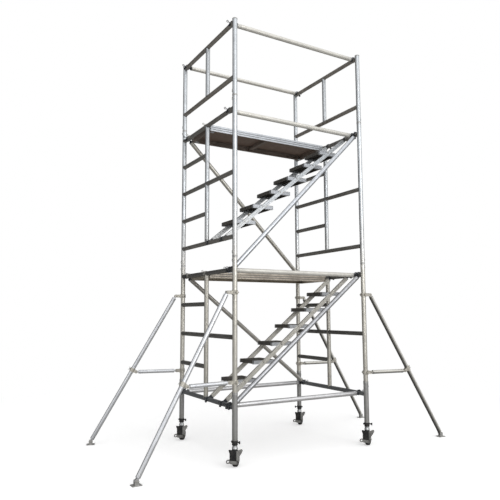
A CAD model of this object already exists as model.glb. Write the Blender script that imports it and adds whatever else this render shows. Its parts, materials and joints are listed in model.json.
# Mobile scaffold tower on four castors with four splayed stabilisers.
# Z is up and the floor is z = 0. Front is -y, left is -x; the two ladder frames stand left and
# right. Lengths are metres, measured from the centre of the four legs unless noted.
import itertools
import json
import math
import bpy
import numpy as np
from mathutils import Matrix, Vector


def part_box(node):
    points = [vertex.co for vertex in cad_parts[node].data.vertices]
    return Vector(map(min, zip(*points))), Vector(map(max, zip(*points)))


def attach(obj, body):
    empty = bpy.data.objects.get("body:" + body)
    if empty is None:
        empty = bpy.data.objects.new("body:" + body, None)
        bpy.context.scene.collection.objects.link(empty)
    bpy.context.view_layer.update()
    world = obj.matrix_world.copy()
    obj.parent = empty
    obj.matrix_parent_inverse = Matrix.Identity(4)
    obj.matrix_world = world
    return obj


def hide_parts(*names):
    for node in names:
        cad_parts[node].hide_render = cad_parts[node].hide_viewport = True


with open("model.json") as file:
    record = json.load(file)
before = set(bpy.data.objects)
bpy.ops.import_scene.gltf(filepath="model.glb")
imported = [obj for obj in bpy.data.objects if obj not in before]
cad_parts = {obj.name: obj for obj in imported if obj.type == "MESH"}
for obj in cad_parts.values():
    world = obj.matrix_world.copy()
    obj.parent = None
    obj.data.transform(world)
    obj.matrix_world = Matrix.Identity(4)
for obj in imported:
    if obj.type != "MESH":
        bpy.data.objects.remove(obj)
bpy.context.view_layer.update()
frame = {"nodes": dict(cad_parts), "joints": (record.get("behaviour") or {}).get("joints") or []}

rng = np.random.default_rng(7)
X_AXIS, Y_AXIS, Z_AXIS = np.eye(3)

# ---------------------------------------------------------------- driving sizes
left_low, left_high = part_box("lower_frame_left")
right_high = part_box("lower_frame_right")[1]
CENTRE = Vector(((left_low.x + right_high.x) / 2, (left_low.y + left_high.y) / 2, 0.0))


def box(node):
    """Low and high corners of a CAD node, from the tower's centre."""
    low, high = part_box(node)
    return low - CENTRE, high - CENTRE


def middle(node):
    low, high = box(node)
    return (low + high) / 2


def half_size(node):
    low, high = box(node)
    return (high - low) / 2


LEG_RADIUS = half_size("lower_frame_left").x
BASE_LEG_RADIUS = half_size("base_frame_left").x
BRACE_RADIUS = half_size("base_brace_front").z
RUNG_RADIUS = 0.0275
UPRIGHT_RADIUS = 0.029

# leg axes stand at +-HALF_X, +-HALF_Y
HALF_X = -middle("lower_frame_left").x
HALF_Y = box("lower_frame_left")[1].y - LEG_RADIUS
LEGS = {
    "a": (-HALF_X, -HALF_Y), "b": (-HALF_X, HALF_Y),
    "c": (HALF_X, -HALF_Y), "d": (HALF_X, HALF_Y),
}

Z_BASE = middle("base_brace_front").z
Z_LOWER = middle("lower_rail_front").z
Z_UPPER = middle("upper_rail_front").z
Z_GUARD = middle("guard_rail_front").z
RUNG_PITCH = (Z_UPPER - Z_BASE) / 9
JOINT_HEIGHTS = [z + 0.168 for z in (Z_BASE, Z_LOWER, Z_UPPER)]

Y_FRONT = middle("base_brace_front").y
Y_REAR = middle("base_brace_rear").y
Y_GUARD = middle("guard_rail_front").y
Y_DIAGONAL_FRONT = middle("lower_diagonal_front").y
Y_DIAGONAL_REAR = middle("lower_diagonal_rear").y

# lean of the braces over four and over five rung pitches
LEAN_LOWER = math.atan2(4 * RUNG_PITCH, 2 * HALF_X)
LEAN_UPPER = math.atan2(5 * RUNG_PITCH, 2 * HALF_X)


def level(number):
    """Height of a rung, counted from the base rung."""
    return Z_BASE + number * RUNG_PITCH


joints = {joint["name"]: joint for joint in frame["joints"]}


def heading(joint):
    """Angle about z of a part whose cross axis is the joint's axis."""
    axis = joints[joint]["axis"]
    return math.atan2(-axis[0], axis[1])


CASTOR_HEADING = {corner: heading("wheel_spin_" + corner) for corner in LEGS}
ARM_HEADING = {corner: heading("foot_tilt_" + corner) for corner in LEGS}
FOOT = {corner: Vector(joints["foot_tilt_" + corner]["pos_m"]) - CENTRE for corner in LEGS}

# castors and stabilisers are laid out in a leg's own frame: x outwards along their heading
AXLE = np.array((-0.03, 0, 0.075))
ARM_LUG_X, ARM_LUG_Z = 0.105, 1.990
STRUT_LUG_X, STRUT_LUG_Z = 0.078, 0.948
CLAMP_LUGS = ((ARM_LUG_X, ARM_LUG_Z), (STRUT_LUG_X, STRUT_LUG_Z))
COUPLER_Z = 0.972
STRUT_DROP = 0.058  # strut end below the arm's axis


def arm_shape(corner):
    """Foot distance from the leg, slope of the arm and distance down the arm to its coupler."""
    leg, foot = LEGS[corner], FOOT[corner]
    reach = math.hypot(foot.x - leg[0], foot.y - leg[1])
    slope = math.atan2(ARM_LUG_Z - foot.z, reach - ARM_LUG_X)
    return reach, slope, (ARM_LUG_Z - COUPLER_Z) / math.sin(slope)


# ---------------------------------------------------------------- geometry helpers
def basis(axis):
    """Unit axis and two unit directions square to it."""
    ahead = np.asarray(axis, float)
    ahead = ahead / np.linalg.norm(ahead)
    helper = Z_AXIS if abs(ahead[2]) < 0.9 else X_AXIS
    across = np.cross(helper, ahead)
    across /= np.linalg.norm(across)
    return ahead, across, np.cross(ahead, across)


def circle(count, phase=0.0):
    return np.arange(count) * 2 * math.pi / count + phase


def arc(centre, radius, across, along, angles):
    """Points about a centre at the given angles."""
    return (np.asarray(centre, float) + np.outer(radius * np.cos(angles), across)
            + np.outer(radius * np.sin(angles), along))


def radial(angle):
    return np.array([math.cos(angle), math.sin(angle), 0])


def turn_z(angle):
    return np.stack([radial(angle), radial(angle + math.pi / 2), Z_AXIS], 1)


def leg_frame(corner, angle):
    """Functions that carry points and directions out of a leg's own turned frame."""
    origin = np.array([*LEGS[corner], 0.0])
    turn = turn_z(angle)

    def direct(vectors):
        return np.asarray(vectors, float) @ turn.T

    def place(points):
        return origin + direct(points)

    return place, direct


def subdivide(points, closed, shift=0.0):
    """Four points on every segment, moved on by a share of their spacing."""
    points = np.asarray(points, float)
    follows = np.roll(points, -1, 0)
    return [points[i] + (follows[i] - points[i]) * (k + shift) / 4
            for i in range(len(points) if closed else len(points) - 1) for k in range(4)]


def band(first, second, count):
    """Quads between two rings of vertices, each given by its first number."""
    return [[first + j, first + (j + 1) % count, second + (j + 1) % count, second + j]
            for j in range(count)]


class Piece:
    """Shapes gathered about the tower's centre and made into one object."""

    def __init__(self):
        self.vertices, self.faces, self.slots, self.smooth = [], [], [], []
        self.start = self.count = 0

    def add(self, vertices, faces, slot=0, smooth=True):
        self.vertices.append(np.asarray(vertices, float))
        self.start = self.count
        self.count += len(vertices)
        self.cover(faces, slot, smooth)

    def cover(self, faces, slot, smooth):
        """Puts faces on the vertices added last."""
        for face in faces:
            self.faces.append([i + self.start for i in face])
            self.slots.append(slot)
            self.smooth.append(smooth)

    def make(self, name, body, materials, slot):
        mesh = bpy.data.meshes.new(name)
        points = np.concatenate(self.vertices) + np.array(CENTRE)
        mesh.from_pydata(points.tolist(), [], self.faces)
        for key in materials:
            mesh.materials.append(MATERIALS[key])
        mesh.polygons.foreach_set("material_index", self.slots)
        mesh.polygons.foreach_set("use_smooth", self.smooth)
        mesh.update()
        mesh.validate()
        mesh.set_sharp_from_angle(angle=math.radians(38))
        item = bpy.data.objects.new(name, mesh)
        bpy.context.scene.collection.objects.link(item)
        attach(item, body)
        return item

    def lathe(self, profile, origin, axis, count=24, slot=0, smooth=True, phase=0.0):
        """(radius, height) profile turned about an axis; a radius of 0 makes a pole."""
        ahead, across, along = basis(axis)
        angles = circle(count, phase)
        rings, starts, total = [], [], 0
        for radius, height in profile:
            centre = np.asarray(origin, float) + ahead * height
            rings.append([centre] if radius == 0 else arc(centre, radius, across, along, angles))
            starts.append(total)
            total += len(rings[-1])
        closed = profile[0][0] > 0 and profile[-1][0] > 0
        faces = []
        for i in range(len(profile) if closed else len(profile) - 1):
            k = (i + 1) % len(profile)
            first, second = starts[i], starts[k]
            if len(rings[i]) == 1:
                faces += [[first, second + (j + 1) % count, second + j] for j in range(count)]
            elif len(rings[k]) == 1:
                faces += [[first + j, first + (j + 1) % count, second] for j in range(count)]
            else:
                faces += band(first, second, count)
        self.add(np.concatenate(rings), faces, slot, smooth)

    def sweep(self, points, radius, sides=8, closed=False, slot=0, squash=1.0):
        """Round bar along a path; squash narrows it in one direction."""
        points = np.asarray(points, float)
        count = len(points)
        radii = np.broadcast_to(np.asarray(radius, float), (count,))
        if closed:
            tangents = np.roll(points, -1, 0) - np.roll(points, 1, 0)
        else:
            tangents = np.gradient(points, axis=0)
        tangents /= np.linalg.norm(tangents, axis=1)[:, None]
        across = basis(tangents[0])[1]
        angles = circle(sides)
        vertices = []
        for point, bar, ahead in zip(points, radii, tangents):
            across = across - ahead * np.dot(across, ahead)
            across /= np.linalg.norm(across)
            along = np.cross(ahead, across)
            vertices.append(arc(point, bar, across * squash, along, angles))
        faces = []
        for i in range(count if closed else count - 1):
            faces += band(i * sides, (i + 1) % count * sides, sides)
        if not closed:
            faces.append(list(range(sides))[::-1])
            faces.append([(count - 1) * sides + j for j in range(sides)])
        self.add(np.concatenate(vertices), faces, slot)

    def ring(self, centre, radius, wire, count, across=X_AXIS, along=Y_AXIS, sides=8, slot=0):
        path = arc(centre, radius, across, along, circle(count))
        self.sweep(path, wire, sides, True, slot)

    def box(self, centre, size, turn=np.eye(3), bevel=0.001, slot=0):
        """Box with chamfered edges and corners."""
        half = np.asarray(size, float) / 2
        bevel = min(bevel, half.min() * 0.6)
        signs = list(itertools.product((-1, 1), repeat=3))
        numbers, vertices, faces = {}, [], []
        for sign in signs:
            for axis in range(3):
                reach = half - bevel
                reach[axis] = half[axis]
                numbers[sign, axis] = len(vertices)
                vertices.append(np.array(sign) * reach)
        vertices = np.array(vertices)

        def corner(axis, side, others, pushed):
            sign = list(others)
            sign.insert(axis, side)
            return numbers[tuple(sign), pushed]

        for axis in range(3):
            first, second = [k for k in range(3) if k != axis]
            for side in (-1, 1):
                faces.append([corner(axis, side, others, axis)
                              for others in ((-1, -1), (1, -1), (1, 1), (-1, 1))])
            for others in itertools.product((-1, 1), repeat=2):
                faces.append([corner(axis, side, others, pushed) for side, pushed in
                              ((-1, first), (1, first), (1, second), (-1, second))])
        faces += [[numbers[sign, axis] for axis in range(3)] for sign in signs]
        outward = []
        for face in faces:
            spots = vertices[face]
            normal = np.cross(spots[1] - spots[0], spots[2] - spots[0])
            outward.append(face if np.dot(normal, spots.mean(0)) > 0 else face[::-1])
        self.add(vertices @ turn.T + np.asarray(centre, float), outward, slot, False)

    def rivet(self, point, axis, radius=0.0042, height=0.0019, slot=0, count=10):
        profile = [(0, -0.0008), (radius * 0.96, -0.0008), (radius, 0.0003),
                   (radius * 0.86, height * 0.62), (radius * 0.5, height * 0.93), (0, height)]
        self.lathe(profile, point, axis, count, slot)

    def hex_bolt(self, point, axis, radius, height, slot=0, washer=True):
        foot = 0.0
        if washer:
            foot = 0.0012
            self.lathe([(0, -0.0004), (radius * 1.35, -0.0004), (radius * 1.38, 0.0004),
                        (radius * 1.36, foot), (0, foot)], point, axis, 20, slot)
        head = [(0, foot), (radius, foot), (radius, foot + height * 0.8),
                (radius * 0.86, foot + height), (0, foot + height)]
        self.lathe(head, point, axis, 6, slot, smooth=False, phase=0.3)

    def pressed_collar(self, tube, rise, half, point, axis, count):
        """Rounded ring around a tube, reaching half its width either way."""
        low, high, shoulder = tube + 0.00003, tube + rise, tube + rise - (0.0005
                              if rise > 0.0015 else 0.0004)
        edge = half - 0.0005
        self.lathe([(low, -half), (shoulder, -edge), (high, 0.0), (shoulder, edge), (low, half)],
                   point, axis, count, 2)

    def fluted_sleeve(self, start, end, radius, ribs=26, depth=0.0007):
        """Thin ribbed sleeve over a tube."""
        start, end = np.asarray(start, float), np.asarray(end, float)
        length = np.linalg.norm(end - start)
        ahead, across, along = basis(end - start)
        count = ribs * 4
        outer = np.where((np.arange(count) % 4) < 2, radius + depth, radius + 0.00012)
        end_radii = np.minimum(outer, radius + 0.00015)
        inner = np.full(count, radius + 0.00003)
        profile = [(inner, 0.0), (end_radii, 0.0), (outer, 0.0015), (outer, length - 0.0015),
                   (end_radii, length), (inner, length)]
        angles = circle(count, math.pi / count)
        vertices = [arc(start + ahead * height, radii, across, along, angles)
                    for radii, height in profile]
        faces = []
        for i in range(len(profile)):
            faces += band(i * count, (i + 1) % len(profile) * count, count)
        self.add(np.concatenate(vertices), faces, smooth=False)

    def weld_bead(self, path):
        """Rippled bar around a closed path."""
        share = np.arange(len(path)) * 2 * math.pi / len(path)
        ripple = (1 + 0.22 * np.sin(share * 26)
                  + 0.10 * np.sin(share * 5 + rng.random() * 6))
        self.sweep(path, 0.0024 * ripple, 7, True)


# ---------------------------------------------------------------- shader helpers
class Graph:
    """Short forms for building a node tree; each returns an output socket."""

    def __init__(self, owner):
        owner.use_nodes = True
        self.tree = owner.node_tree
        self.tree.nodes.clear()

    def node(self, kind, inputs=None, out=0, **settings):
        node = self.tree.nodes.new("ShaderNode" + kind)
        for name, value in settings.items():
            setattr(node, name, value)
        for key, value in (inputs or {}).items():
            if isinstance(value, bpy.types.NodeSocket):
                self.tree.links.new(value, node.inputs[key])
            else:
                node.inputs[key].default_value = value
        return node.outputs[out] if len(node.outputs) else None

    def noise(self, vector, scale, detail, roughness, distortion=0.0):
        return self.node("TexNoise", {"Vector": vector, "Scale": scale, "Detail": detail,
                                      "Roughness": roughness, "Distortion": distortion})

    def math(self, operation, *values):
        return self.node("Math", dict(enumerate(values)), operation=operation)

    def remap(self, value, low, high, to_low=0.0, to_high=1.0, **settings):
        return self.node("MapRange", {0: value, "From Min": low, "From Max": high,
                                      "To Min": to_low, "To Max": to_high}, **settings)

    def mix(self, factor, under, over, blend="MIX"):
        if isinstance(over, tuple):
            over = (*over, 1)
        return self.node("Mix", {0: factor, 6: under, 7: over}, 2,
                         data_type="RGBA", blend_type=blend)

    def ramp(self, factor, *stops):
        """Colour ramp; each stop is (position, grey or colour)."""
        stops = [(place, (*((tone,) * 3 if isinstance(tone, (int, float)) else tone), 1))
                 for place, tone in stops]
        socket = self.node("ValToRGB", {0: factor})
        elements = socket.node.color_ramp.elements
        elements[0].position, elements[0].color = stops[0]
        elements[1].position, elements[1].color = stops[-1]
        for place, colour in stops[1:-1]:
            elements.new(place).color = colour
        return socket


# direction the sheltered arms face the light, for the darker weathering on their other side
SHELTER_DIRECTION = (0.72, -0.42, 0.55)


def worn_material(name, colour, metallic, roughness, stretch=(1, 1, 1), tilt=0.0, grain=0.18,
                  mottle=0.12, dirt=0.22, dirt_colour=(0.16, 0.14, 0.11), low_dirt=0.0,
                  scratch=0.3, bump=0.25, warm=None, speck=0.0, sheltered=False):
    """Drawn grain, mottling, patchy dirt, dirt near the ground, scratches and specks.

    stretch and tilt lay the grain along a tube; warm tints the lower part of the tower.
    """
    material = bpy.data.materials.new(name)
    graph = Graph(material)
    coords = graph.node("TexCoord", out="Object")
    level_coords = graph.node("Mapping", {0: coords, "Rotation": (0, tilt, 0)})
    drawn = graph.node("Mapping", {0: level_coords, "Scale": stretch})
    fine = graph.noise(drawn, scale=260.0, detail=4.0, roughness=0.6)
    broad = graph.noise(level_coords, scale=5.5, detail=6.0, roughness=0.62, distortion=0.4)
    blotches = graph.noise(level_coords, scale=23.0, detail=8.0, roughness=0.7, distortion=0.8)
    streaks = graph.noise(drawn, scale=70.0, detail=3.0, roughness=0.5, distortion=2.2)
    # thin lines where the streak noise crosses its middle
    scratches = graph.ramp(streaks, (0.0, 0), (0.485, 0), (0.5, 1), (0.515, 0), (1.0, 0))

    darker = tuple(max(0.0, x * (1 - mottle)) for x in colour)
    lighter = tuple(min(1.0, x * (1 + mottle * 0.7)) for x in colour)
    mottled = graph.ramp(broad, (0.32, darker), (0.5, colour), (0.7, lighter))
    grain_tone = graph.ramp(fine, (0.25, 1 - grain), (0.75, 1.0))
    tone = graph.mix(1.0, mottled, grain_tone, "MULTIPLY")
    if warm or low_dirt:
        height = graph.node("SeparateXYZ", {0: coords}, out=2)
    if warm:
        below = graph.remap(height, low=2.6, high=2.2)
        tone = graph.mix(below, tone, warm, "MULTIPLY")
        above = graph.remap(height, low=2.5, high=3.2)
        tone = graph.mix(above, tone, (0.94, 0.985, 1.04), "MULTIPLY")
    dirty = graph.math("MULTIPLY", graph.ramp(blotches, (0.46, 0), (0.74, 1)), dirt)
    if low_dirt:
        splash = graph.remap(height, low=0.45, high=0.0, to_high=low_dirt)
        dirty = graph.math("MULTIPLY_ADD", splash, broad, dirty)
    tone = graph.mix(dirty, tone, dirt_colour)
    bright = tuple(min(1.0, x * 1.35 + 0.06) for x in colour)
    tone = graph.mix(graph.math("MULTIPLY", scratches, scratch), tone, bright)
    if speck:
        cells = graph.node("TexVoronoi", {"Vector": level_coords, "Scale": 38.0,
                                          "Randomness": 1.0}, "Distance")
        dots = graph.ramp(cells, (0.0, 1), (0.05, 1), (0.08, 0), (1.0, 0))
        tone = graph.mix(graph.math("MULTIPLY", dots, speck), tone, (0.78, 0.77, 0.73))
    if sheltered:
        normal = graph.node("NewGeometry", out="Normal")
        facing = graph.node("VectorMath", {0: normal, 1: SHELTER_DIRECTION}, "Value",
                            operation="DOT_PRODUCT")
        shade = graph.ramp(graph.remap(facing, low=-1.0, high=1.0),
                           (0.10, 0.10), (0.48, 0.36), (0.80, 1.0))
        tone = graph.mix(1.0, tone, shade, "MULTIPLY")
    rough = graph.remap(blotches, low=0.3, high=0.7, to_low=roughness * 0.78,
                        to_high=min(1.0, roughness * 1.3))
    relief = graph.math("ADD", fine, scratches)
    fine_bump = graph.node("Bump", {"Strength": bump, "Distance": 0.0006, "Height": relief})
    broad_bump = graph.node("Bump", {"Strength": bump * 0.6, "Distance": 0.004,
                                     "Height": blotches, "Normal": fine_bump})
    surface = graph.node("BsdfPrincipled", {"Base Color": tone, "Roughness": rough,
                                            "Metallic": metallic, "Normal": broad_bump})
    graph.node("OutputMaterial", {0: surface})
    return material


def wood_material(name, dark, light, patterned=False):
    """Plywood with grain along x; patterned adds a raised grid for the walking face."""
    material = bpy.data.materials.new(name)
    graph = Graph(material)
    coords = graph.node("TexCoord", out="Object")
    drawn = graph.node("Mapping", {0: coords, "Scale": (1.4, 16, 16)})
    growth = graph.noise(drawn, scale=3.2, detail=9.0, roughness=0.66, distortion=1.2)
    fibres = graph.noise(drawn, scale=24.0, detail=5.0, roughness=0.6)
    waves = graph.node("TexWave", {"Vector": drawn, "Scale": 2.3, "Distortion": 7.0,
                                   "Detail": 3.0, "Detail Scale": 1.4}, bands_direction="Y")
    grain = graph.math("MULTIPLY", graph.math("ADD", growth, waves), 0.5)
    between = tuple((x + y) / 2 for x, y in zip(dark, light))
    tone = graph.ramp(grain, (0.2, dark), (0.5, between), (0.8, light))
    fibre_tone = graph.ramp(fibres, (0.3, 0.72), (0.7, 1.0))
    tone = graph.mix(1.0, tone, fibre_tone, "MULTIPLY")
    stains = graph.noise(coords, scale=6.0, detail=8.0, roughness=0.7)
    stained = graph.ramp(stains, (0.48, 0), (0.8, 0.55))
    tone = graph.mix(stained, tone, (0.30, 0.26, 0.21))
    rough = graph.remap(stains, low=0.3, high=0.7, to_low=0.5, to_high=0.8)
    relief = grain
    if patterned:
        mesh_coords = graph.node("Mapping", {0: coords, "Scale": (95, 95, 95),
                                             "Rotation": (0, 0, math.radians(45))})
        cells = graph.node("TexVoronoi", {"Vector": mesh_coords, "Scale": 1.0,
                                          "Randomness": 0.0}, "Distance", distance="CHEBYCHEV")
        relief = graph.math("ADD", cells, fibres)
    bump = graph.node("Bump", {"Strength": 0.35, "Distance": 0.0012, "Height": relief})
    surface = graph.node("BsdfPrincipled",
                         {"Base Color": tone, "Roughness": rough, "Normal": bump})
    graph.node("OutputMaterial", {0: surface})
    return material


# ---------------------------------------------------------------- materials
ALONG_Z = {"stretch": (1, 1, 0.03)}
ALONG_Y = {"stretch": (1, 0.03, 1)}
ALONG_X = {"stretch": (0.03, 1, 1)}
ALONG_ARM = {"stretch": (0.25, 1, 0.12)}
WARM = (1.0, 0.965, 0.885)
RUNG_WEAR = dict(ALONG_Y, dirt=0.3, speck=0.35)

# name: (colour, metallic, roughness, wear settings)
WORN = {
    "leg": ((0.79, 0.79, 0.78), 0.92, 0.36, dict(ALONG_Z, warm=WARM, speck=0.25, dirt=0.18)),
    "upright": ((0.70, 0.70, 0.69), 0.92, 0.40, dict(ALONG_Z, warm=WARM, speck=0.2)),
    "base_leg": ((0.46, 0.46, 0.455), 0.9, 0.48,
                 dict(ALONG_Z, low_dirt=0.9, dirt=0.3, speck=0.4)),
    "rung_low": ((0.215, 0.212, 0.205), 0.75, 0.5, RUNG_WEAR),
    "rung": ((0.345, 0.335, 0.315), 0.75, 0.5, RUNG_WEAR),
    "rung_high": ((0.46, 0.43, 0.395), 0.75, 0.5, RUNG_WEAR),
    "rung_base": ((0.27, 0.28, 0.295), 0.75, 0.5, RUNG_WEAR),
    "brace": ((0.90, 0.90, 0.92), 0.85, 0.32, dict(ALONG_X, dirt=0.14, speck=0.2)),
    "brace_cream": ((0.86, 0.84, 0.78), 0.45, 0.38,
                    dict(ALONG_X, dirt=0.14, dirt_colour=(0.30, 0.28, 0.24), speck=0.2)),
    "brace_rise": ((0.50, 0.51, 0.535), 0.85, 0.38,
                   dict(ALONG_X, tilt=LEAN_LOWER, dirt=0.2, speck=0.2)),
    "brace_fall": ((0.60, 0.58, 0.54), 0.92, 0.40,
                   dict(ALONG_X, tilt=-LEAN_LOWER, dirt=0.24, speck=0.2)),
    "brace_steep_rise": ((0.70, 0.73, 0.78), 0.92, 0.34,
                         dict(ALONG_X, tilt=LEAN_UPPER, dirt=0.14, speck=0.2)),
    "brace_steep_fall": ((0.70, 0.68, 0.62), 0.92, 0.42,
                         dict(ALONG_X, tilt=-LEAN_UPPER, dirt=0.22, speck=0.2)),
    "cap": ((0.52, 0.52, 0.51), 0.1, 0.55, dict(grain=0.1, dirt=0.25, bump=0.15)),
    "pin": ((0.62, 0.62, 0.60), 0.95, 0.34, dict(grain=0.1, dirt=0.2)),
    "claw": ((0.055, 0.06, 0.07), 0.45, 0.5,
             dict(grain=0.3, mottle=0.25, scratch=0.5, dirt=0.2, bump=0.5,
                  dirt_colour=(0.25, 0.24, 0.22))),
    "latch": ((0.50, 0.53, 0.57), 0.95, 0.3, dict(grain=0.1)),
    "deck_rail": ((0.66, 0.69, 0.73), 0.8, 0.42, dict(ALONG_X, dirt=0.2, speck=0.2)),
    "deck_groove": ((0.10, 0.105, 0.12), 0.3, 0.6, dict(ALONG_X, dirt=0.4, speck=0.1)),
    "deck_rail_lower": ((0.60, 0.54, 0.46), 0.4, 0.5,
                        dict(ALONG_X, dirt=0.55, mottle=0.35,
                             dirt_colour=(0.20, 0.15, 0.11), speck=0.2)),
    "deck_inner_upper": ((0.26, 0.21, 0.18), 0.25, 0.6, dict(ALONG_X, dirt=0.4, mottle=0.3)),
    "deck_inner_lower": ((0.62, 0.57, 0.48), 0.3, 0.55,
                         dict(ALONG_X, dirt=0.35, mottle=0.25,
                              dirt_colour=(0.24, 0.19, 0.15))),
    "hook": ((0.55, 0.54, 0.51), 0.85, 0.45, dict(grain=0.3, bump=0.5)),
    "stringer": ((0.72, 0.72, 0.71), 0.70, 0.40,
                 dict(ALONG_X, tilt=LEAN_LOWER, dirt=0.2, speck=0.3, warm=(1.0, 0.97, 0.90))),
    "tread": ((0.11, 0.102, 0.092), 0.2, 0.62,
              dict(ALONG_Y, dirt=0.35, dirt_colour=(0.16, 0.15, 0.13), scratch=0.5, bump=0.5)),
    "shoe": ((0.52, 0.54, 0.57), 0.85, 0.42, dict(ALONG_Y, dirt=0.25)),
    "stem": ((0.62, 0.63, 0.64), 0.95, 0.34, dict(dirt=0.3)),
    "nut": ((0.035, 0.035, 0.037), 0.4, 0.5,
            dict(grain=0.35, scratch=0.6, dirt=0.3, dirt_colour=(0.2, 0.18, 0.16), bump=0.6)),
    "fork": ((0.46, 0.46, 0.44), 0.45, 0.40,
             dict(grain=0.25, mottle=0.3, dirt=0.45, dirt_colour=(0.10, 0.095, 0.09),
                  scratch=0.5)),
    "zinc": ((0.46, 0.455, 0.44), 0.45, 0.38,
             dict(grain=0.4, mottle=0.45, dirt=0.8, scratch=0.6,
                  dirt_colour=(0.09, 0.085, 0.08))),
    "lever": ((0.016, 0.0165, 0.018), 0.2, 0.50,
              dict(grain=0.3, dirt=0.3, scratch=0.6, dirt_colour=(0.22, 0.2, 0.18))),
    "tyre": ((0.012, 0.012, 0.013), 0.0, 0.66,
             dict(grain=0.3, dirt=0.5, dirt_colour=(0.17, 0.15, 0.13), scratch=0.3,
                  bump=0.7)),
    "hub": ((0.20, 0.195, 0.185), 0.3, 0.45, dict(dirt=0.45, dirt_colour=(0.12, 0.11, 0.10))),
    "arm": ((0.88, 0.90, 0.94), 0.72, 0.30,
            dict(ALONG_ARM, dirt=0.16, low_dirt=0.4, speck=0.25)),
    "arm_shaded": ((0.93, 0.91, 0.85), 0.70, 0.32,
                   dict(ALONG_ARM, dirt=0.16, low_dirt=0.3, speck=0.25, sheltered=True)),
    "clamp": ((0.70, 0.67, 0.60), 0.55, 0.45,
              dict(grain=0.25, mottle=0.18, dirt=0.35, bump=0.5)),
    "bolt": ((0.55, 0.54, 0.51), 0.95, 0.36, dict(grain=0.15, dirt=0.35)),
    "foot": ((0.68, 0.68, 0.67), 0.5, 0.42, dict(grain=0.25, dirt=0.4, low_dirt=0.5, bump=0.5)),
    "rubber": ((0.03, 0.03, 0.03), 0.0, 0.7, dict(dirt=0.5, bump=0.5)),
    "weld": ((0.66, 0.66, 0.65), 0.9, 0.42, dict(grain=0.35, dirt=0.3, bump=0.6)),
    "weld_dark": ((0.20, 0.20, 0.205), 0.8, 0.5, dict(grain=0.35, dirt=0.3, bump=0.6)),
    "screw": ((0.5, 0.5, 0.48), 0.95, 0.35, {}),
}
# name: (dark colour, light colour)
WOODS = {
    "plywood": ((0.15, 0.095, 0.075), (0.40, 0.29, 0.23)),
    "plywood_lower": ((0.34, 0.27, 0.20), (0.66, 0.57, 0.45)),
    "plywood_top": ((0.06, 0.038, 0.028), (0.17, 0.12, 0.09)),
    "plywood_edge": ((0.20, 0.14, 0.10), (0.42, 0.31, 0.21)),
}
MATERIALS = {}
for key, (colour, metallic, roughness, wear) in WORN.items():
    MATERIALS[key] = worn_material("mat_" + key, colour, metallic, roughness, **wear)
for key, (dark, light) in WOODS.items():
    MATERIALS[key] = wood_material("mat_" + key, dark, light, patterned=key == "plywood_top")

SECTION_RUNG = {"base": "rung_base", "lower": "rung_low", "upper": "rung", "guard": "rung_high"}
DECK_RAIL = {"lower": "deck_rail_lower", "upper": "deck_rail"}
CORNER_ARM = {"a": "arm", "b": "arm", "c": "arm_shaded", "d": "arm_shaded"}


# ---------------------------------------------------------------- painting the CAD nodes
def paint(node, materials, pick=None):
    """Sets a node's materials; pick chooses one for each polygon from its centre."""
    mesh = frame["nodes"][node].data
    mesh.materials.clear()
    for key in materials:
        mesh.materials.append(MATERIALS[key])
    count = len(mesh.polygons)
    slots = np.zeros(count, int)
    if pick is not None:
        centres = np.zeros(count * 3)
        mesh.polygons.foreach_get("center", centres)
        slots = np.asarray(pick(centres.reshape(-1, 3) - np.array(CENTRE)), int)
    mesh.polygons.foreach_set("material_index", slots)
    mesh.update()


def pick_frame(centres):
    """0 leg, 1 middle upright, 2 rung."""
    x, y = centres[:, 0], centres[:, 1]
    from_frame = np.minimum(abs(x + HALF_X), abs(x - HALF_X))
    from_leg = np.sqrt(from_frame ** 2 + (abs(y) - HALF_Y) ** 2)
    from_upright = np.sqrt(from_frame ** 2 + y ** 2)
    return np.where(from_leg < BASE_LEG_RADIUS + 0.0004, 0,
                    np.where(from_upright < UPRIGHT_RADIUS + 0.0004, 1, 2))


def pick_deck(centres):
    """0 outer face of a side rail, 1 its grooves, 2 everything that faces inwards or down."""
    y, z = centres[:, 1], centres[:, 2]
    depth = np.minimum(y - y.min(), y.max() - y)
    rise = z - z.min()
    in_groove = ((rise > 0.0212) & (rise < 0.0298)) | ((rise > 0.0492) & (rise < 0.0578))
    groove = (depth > 0.0004) & (depth < 0.0034) & in_groove
    inner = (depth > 0.0034) & (z < z.max() - 0.0005)
    return np.where(groove, 1, np.where(inner, 2, 0))


def in_leg_frame(centres, corner, angle):
    x, y = centres[:, 0] - LEGS[corner][0], centres[:, 1] - LEGS[corner][1]
    cosine, sine = math.cos(angle), math.sin(angle)
    return x * cosine + y * sine, -x * sine + y * cosine, centres[:, 2]


def paint_castor(corner):
    angle = CASTOR_HEADING[corner]

    def pick_fork(centres):
        x, y, z = in_leg_frame(centres, corner, angle)
        return np.where((z > 0.176) & (abs(y) < 0.036), 1, 0)

    def pick_wheel(centres):
        x, y, z = in_leg_frame(centres, corner, angle)
        return np.where(np.sqrt((x - AXLE[0]) ** 2 + (z - AXLE[2]) ** 2) > 0.056, 0, 1)

    def pick_lever(centres):
        x, y, z = in_leg_frame(centres, corner, angle)
        outer = x > 0.0575
        return np.where((y > 0.0421) | ((z < 0.0925) & (y < -0.0415) & outer)
                        | ((z < 0.0835) & outer), 1, 0)

    paint("jack_stem_" + corner, ["stem"])
    paint("jack_nut_" + corner, ["nut"])
    paint("castor_fork_" + corner, ["fork", "lever"], pick_fork)
    paint("castor_wheel_" + corner, ["tyre", "hub"], pick_wheel)
    paint("brake_lever_" + corner, ["lever", "zinc"], pick_lever)


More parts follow.
